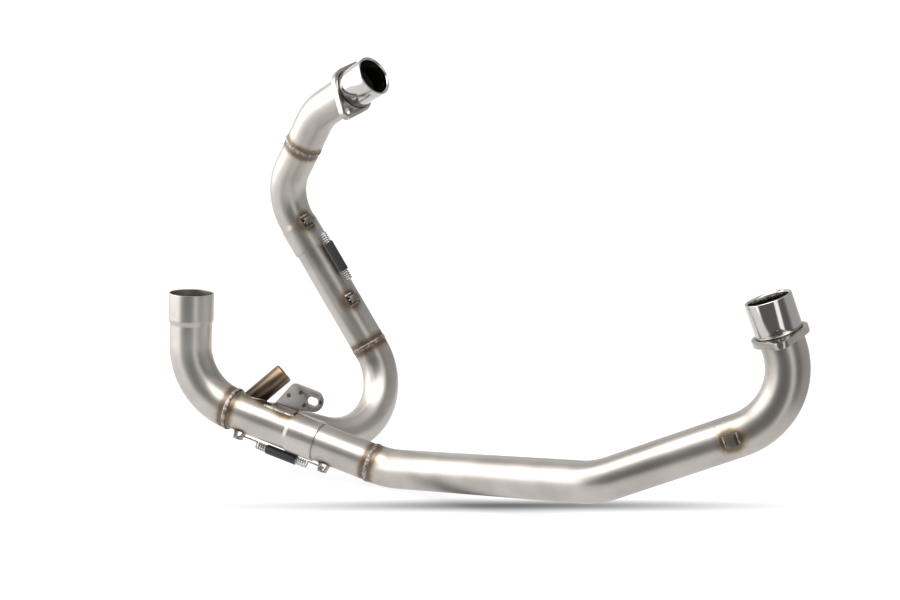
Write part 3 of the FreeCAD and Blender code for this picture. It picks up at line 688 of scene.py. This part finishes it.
# Bracket and spring tabs: laser cut stainless strip, folded and welded to the tubes.  The bracket has
# four dark spot welds, as heights above its slot and lengths from it, and a bead along its foot.
SPOT_MARKS = [(-3.8, 30.4), (4.8, 17.6), (-8.7, 8.3), (1.5, -9.1)]
PLATE = 3 * MM
PLATE_EDGE = 0.3 * MM
FOOT_START = 106.5 * MM
FOOT_END = 144 * MM
FOOT_ROLL = 40
FOOT_NEAR = 6 * MM
FOOT_RIPPLES = 24
FOOT_SIZE = 0.85
FOOT_SINK = 0.4 * MM
FOOT_TILT = 0.9
BRACKET_STATION = 93 * MM
BRACKET_ROLL = 59
SLOT_HEIGHT = 42.5 * MM
SPOT_SIZE = 3 * MM
bracket_root = collector_line @ moved(z=BRACKET_STATION) @ turned(BRACKET_ROLL, "Z")
bracket_line = bracket_root @ moved(x=SLOT_HEIGHT)
plate_finish = steel_finish(
    "plate_dull", (0.19, 0.177, 0.164, 1), (0.28, 0.264, 0.246, 1), rough=0.40,
    spots=[
        (bracket_line @ Vector((up * MM, -PLATE, along * MM)), SPOT_SIZE) for up, along in SPOT_MARKS
    ],
    tints=((0.12, 0.108, 0.096, 1), (0.050, 0.042, 0.036, 1)),
)
tab_finish = steel_finish("tab_dull", (0.19, 0.170, 0.152, 1), (0.34, 0.315, 0.29, 1), rough=0.32)
bracket = soften("mount_bracket", "slotted_bracket", PLATE_EDGE)
dress(bracket, plate_finish, "plate_steel", "mount_bracket")
foot_points, foot_normals = [], []
for i in range(FOOT_RIPPLES):
    station = FOOT_START + (FOOT_END - FOOT_START) * i / (FOOT_RIPPLES - 1)
    foot_place = collector_line @ moved(z=station) @ turned(FOOT_ROLL, "Z") @ moved(x=HEADER_OD / 2)
    foot_points.append(foot_place @ Vector((-FOOT_SINK, -FOOT_NEAR, 0)))
    foot_normals.append(foot_place.to_3x3() @ Vector((1, -FOOT_TILT, 0)))
dress(weld_run("foot_weld_ripples", foot_points, foot_normals, FOOT_SIZE), bead_finish, "weld_metal")

TAB_EDGE = 0.25 * MM
TAB_FOOT = 7.4 * MM
TAB_STEP = 4.4
TAB_SIZE = 0.6
TAB_TILT = 0.7
TAB_PATH = [(-1, t) for t in range(-3, 4)] + [(1, t) for t in range(3, -4, -1)]
for name, line, station, direction, od in (
    ("spare", front_rake, SPARE_TAB_STATION, SPARE_TAB_ROLL, HEADER_OD),
    ("stub", collector_line, FRONT_TAB_STATION, FRONT_TAB_ROLL, SLIP_OD),
    ("collector", collector_line, COLLECTOR_TAB_STATION, FRONT_TAB_ROLL, HEADER_OD),
    ("riser", riser_line, RISER_TAB_STATION, REAR_TAB_ROLL, RISER_OD),
    ("rear", riser_line, REAR_TAB_STATION, REAR_TAB_ROLL, REAR_SOCKET_OD),
):
    tab = soften(f"{name}_spring_tab", f"{name}_tab_bridge", TAB_EDGE)
    dress(tab, tab_finish, "plate_steel", f"{name}_spring_tab")
    tab_points, tab_normals = [], []
    for end, t in TAB_PATH:
        foot_place = line @ moved(z=station + end * TAB_FOOT) @ turned(direction + t * TAB_STEP, "Z")
        tab_points.append(foot_place @ Vector((od / 2, 0, 0)))
        tab_normals.append(foot_place.to_3x3() @ Vector((1, 0, TAB_TILT * end)))
    tab_bead = weld_run(f"{name}_tab_ripples", tab_points, tab_normals, TAB_SIZE)
    dress(tab_bead, bead_finish, "weld_metal")

# Retaining springs: bright wire wound with narrow gaps, with a hook at each end through a tab.  They
# are pulled across the slip joints, each with a black rubber sleeve against rattle.
WIRE = 1.9 * MM
COIL_RADIUS = 3.8 * MM
COIL_PITCH = 2.9 * MM
COIL_TURNS = 23
TURN_STEPS = 28
SPRING_HEIGHT = 31 * MM
SPRING_SIDE = 14
HOOK_BEND = 3 * MM
HOOK_TAIL = 11.5 * MM
HOOK_LEAD = 0.6 * MM
SLEEVE_PROFILE = [
    (5.6, -19.2), (5.6, 19.2), (5.1, 20.0), (4.9, 20.0), (4.9, -20.0), (5.1, -20.0),
]
spring_finish = steel_finish(
    "spring_wire_bright", (0.36, 0.35, 0.335, 1), (0.56, 0.545, 0.525, 1), rough=0.15,
)
sleeve_finish, surface, coords = new_finish("sleeve_rubber_matt")
rub = coords.noise(300.0, 3.0)
rub.blend((0.008, 0.008, 0.009, 1), (0.022, 0.022, 0.023, 1)).into(surface, "Base Color")
(rub * 0.2 + 0.40).into(surface, "Roughness")
sleeve_bump = coords.node("Bump", None, {"Strength": 0.2, "Distance": 0.1 * MM, "Height": rub})
sleeve_bump.into(surface, "Normal")


def wind_coil(name, middle):
    """The turns about the spring axis: a wire section carried round by a Screw modifier."""
    coil = ring_at(name, moved(x=COIL_RADIUS) @ turned(90, "X"), WIRE / 2, 12)
    bpy.ops.object.mode_set(mode="OBJECT")
    screw = coil.modifiers.new("turns", "SCREW")
    screw.axis = "Z"
    screw.screw_offset = COIL_PITCH
    screw.iterations = COIL_TURNS
    screw.steps = TURN_STEPS
    screw.render_steps = TURN_STEPS
    bpy.ops.object.modifier_apply(modifier=screw.name)
    coil.matrix_world = middle @ turned(180, "Z") @ moved(z=-COIL_PITCH * COIL_TURNS / 2)
    bpy.ops.object.transform_apply(location=True, rotation=True, scale=True)
    bpy.ops.object.mode_set(mode="EDIT")
    bpy.ops.mesh.select_all(action="SELECT")
    bpy.ops.mesh.remove_doubles(threshold=0.001 * MM)
    bpy.ops.mesh.fill_holes(sides=0)
    bpy.ops.mesh.select_all(action="SELECT")
    bpy.ops.mesh.normals_make_consistent(inside=False)
    bpy.ops.object.mode_set(mode="OBJECT")
    bpy.ops.object.shade_smooth_by_angle(angle=math.radians(40))
    return coil


for side, line, station, direction, turn in (
    ("front", collector_line, FRONT_TAB_STATION, FRONT_TAB_ROLL, -1),
    ("rear", riser_line, RISER_TAB_STATION, REAR_TAB_ROLL, 1),
):
    spring_foot = line @ moved(z=station + SPRING_SPAN / 2) @ turned(direction + turn * SPRING_SIDE, "Z")
    middle = spring_foot @ moved(x=SPRING_HEIGHT)
    parts = [wind_coil(f"{side}_hooked_spring", middle)]
    coil_end = COIL_PITCH * COIL_TURNS / 2
    for end, flip, plane in (("near", 180, 90 * turn), ("far", 0, -90 * turn)):
        start = middle @ turned(flip, "X") @ moved(x=-COIL_RADIUS, z=coil_end)
        leg = SPRING_SPAN / 2 - coil_end - HOOK_LEAD - HOOK_BEND
        hook, _ = draw_tube(
            f"{side}_{end}_hook", start, WIRE,
            [("leg", leg), ("bend", HOOK_BEND, 90, plane), ("leg", HOOK_TAIL)],
            wall=None, sides=16, degrees=8,
        )
        parts.append(hook)
    bpy.ops.object.select_all(action="DESELECT")
    for part in parts:
        part.select_set(True)
    bpy.context.view_layer.objects.active = parts[0]
    bpy.ops.object.join()
    dress(parts[0], spring_finish, "spring_steel", f"{side}_spring")
    sleeve = turn_piece(f"{side}_rubber_sleeve", middle, SLEEVE_PROFILE, 48)
    dress(sleeve, sleeve_finish, "sleeve_rubber", f"{side}_spring_sleeve")

# Studio: a plain white floor with a painted contact shadow under the part, a plain white backdrop, a
# curtain of soft panels and dark gaps round the part that only its reflections show, and the photograph's
# camera on the front right of the part.
FLOOR_SPAN = 600
FLOOR_GLOW = 0.88
bpy.ops.object.select_all(action="DESELECT")
bpy.ops.mesh.primitive_plane_add(size=FLOOR_SPAN, location=(0, 0, cad_box[0][2]))
floor = bpy.context.object
floor.name = "studio_floor"
CAMERA_BACK = Vector((0.6330, -0.7544, 0.1736))
CAMERA_UP = Vector((-0.1116, 0.1330, 0.9848))
CAMERA_RIGHT = CAMERA_UP.cross(CAMERA_BACK)
LEVEL_BACK = Vector((CAMERA_BACK.x, CAMERA_BACK.y, 0)).normalized()
floor_finish, surface, coords = new_finish("studio_white", Roughness=0.7)
floor_depth = coords.vector("DOT_PRODUCT", LEVEL_BACK)
floor_side = coords.vector("DOT_PRODUCT", CAMERA_RIGHT)


def painted_floor_shadow(side, reach, depth, spread):
    """A painted shadow patch on the floor, 1 in its middle and 0 outside its reach and spread."""
    across = (floor_side - side) * (1 / reach)
    along = (floor_depth - depth) * (1 / spread)
    return (across * across + along * along).math("SQRT").smooth(1.0, 0.0)


# Painted contact shadow: two soft patches along the lowest run darken the floor's colour and glow where
# the part's shadow falls.
long_painted_shadow = painted_floor_shadow(side=-0.262, reach=0.50, depth=-0.157, spread=0.036)
short_painted_shadow = painted_floor_shadow(side=-0.215, reach=0.30, depth=-0.162, spread=0.032)
painted_contact_shadow = long_painted_shadow * 0.50 + short_painted_shadow * 0.42
painted_contact_shadow.blend((0.15, 0.15, 0.15, 1), (0.03, 0.03, 0.03, 1)).into(surface, "Base Color")
painted_contact_shadow.blend((1, 1, 1, 1), (0, 0, 0, 1)).into(surface, "Emission Color")
surface.inputs["Emission Strength"].default_value = FLOOR_GLOW
(floor_depth.smooth(0.25, 0.145) * floor_side.smooth(0.32, 0.12)).into(surface, "Alpha")
floor.data.materials.append(floor_finish)

TOP_GLOW = 4.7
CEILING_GLOW = 0.66
BACKDROP_GLOW = 0.90
SKY_GLOW = 0.14
TOP_SIDE = 0.80 * LEVEL_BACK - 0.60 * CAMERA_RIGHT
world = bpy.data.worlds.new("studio_sky")
world.use_nodes = True
bpy.context.scene.world = world
background = world.node_tree.nodes["Background"]
ray = Shade(world.node_tree).node("TexCoord", output="Generated")
height = ray.vector("DOT_PRODUCT", (0, 0, 1))
leftward = ray.vector("DOT_PRODUCT", TOP_SIDE)
top_band = height.smooth(0.58, 0.74) * height.smooth(1.01, 0.93)
top_panel = top_band * leftward.smooth(0.06, 0.34) * TOP_GLOW
ceiling = height.smooth(0.55, 0.80) * CEILING_GLOW
backdrop = height.smooth(0.30, 0.10) * BACKDROP_GLOW
(top_panel + ceiling + backdrop + SKY_GLOW).into(background, "Strength")
background.inputs["Color"].default_value = (1.0, 0.99, 0.975, 1)

CURTAIN_RADIUS = 2.2
CURTAIN_HEIGHT = 2.7
CURTAIN_FOOT = Vector((-0.33, -0.06, -1.15))
LEFT_GLOW = 2.3
LEFT_BACK_GLOW = 0.9
STRIP_GLOW = 1.55
RIGHT_GLOW = 0.42
CURTAIN_GLOW = 0.17
DISC_RATIO = 100
curtain_place = Matrix.Translation(CURTAIN_FOOT)
curtain = ring_at("studio_curtain", curtain_place, CURTAIN_RADIUS / DISC_RATIO, 96)
draw_out(curtain_place, 0.0, DISC_RATIO)
draw_out(curtain_place, CURTAIN_HEIGHT)
bpy.ops.object.mode_set(mode="OBJECT")
curtain_finish, surface, coords = new_finish("curtain_panels", Roughness=1.0)
surface.inputs["Base Color"].default_value = (0, 0, 0, 1)
surface.inputs["Specular IOR Level"].default_value = 0
offset = coords.vector("SUBTRACT", CURTAIN_FOOT)
ahead = offset.vector("DOT_PRODUCT", LEVEL_BACK)
bearing = offset.vector("DOT_PRODUCT", CAMERA_RIGHT).math("ARCTAN2", ahead) * (180 / math.pi)
left_panel = bearing.smooth(-50, -70) * (bearing.smooth(-140, -115) * LEFT_GLOW + LEFT_BACK_GLOW)
strip_panel = bearing.smooth(15, 20) * bearing.smooth(36, 30) * STRIP_GLOW
right_panel = bearing.smooth(56, 74) * RIGHT_GLOW
(left_panel + strip_panel + right_panel + CURTAIN_GLOW).into(surface, "Emission Color")
surface.inputs["Emission Strength"].default_value = 1.0
curtain.data.materials.append(curtain_finish)
curtain.visible_camera = False
curtain.visible_diffuse = False
curtain.visible_shadow = False

lamp = bpy.data.lights.new("overhead_light", "SUN")
lamp.energy = 0.4
lamp.angle = math.radians(70)
overhead = bpy.data.objects.new("overhead_light", lamp)
overhead.matrix_world = turned(-6, "X")
overhead.visible_glossy = False
bpy.context.collection.objects.link(overhead)

CAMERA_DISTANCE = 1.60927
CAMERA_SIDE = -0.31465
CAMERA_RISE = -0.0021
camera = bpy.data.cameras.new("photo_camera")
camera.lens = 65
camera.sensor_width = 36
camera.sensor_fit = "HORIZONTAL"
viewpoint = bpy.data.objects.new("photo_camera", camera)
bpy.context.collection.objects.link(viewpoint)
viewpoint.matrix_world = Matrix((CAMERA_RIGHT, CAMERA_UP, CAMERA_BACK)).transposed().to_4x4()
viewpoint.location = CAMERA_DISTANCE * CAMERA_BACK + CAMERA_SIDE * CAMERA_RIGHT + CAMERA_RISE * CAMERA_UP
bpy.context.scene.camera = viewpoint
bpy.context.scene.view_settings.view_transform = "Standard"
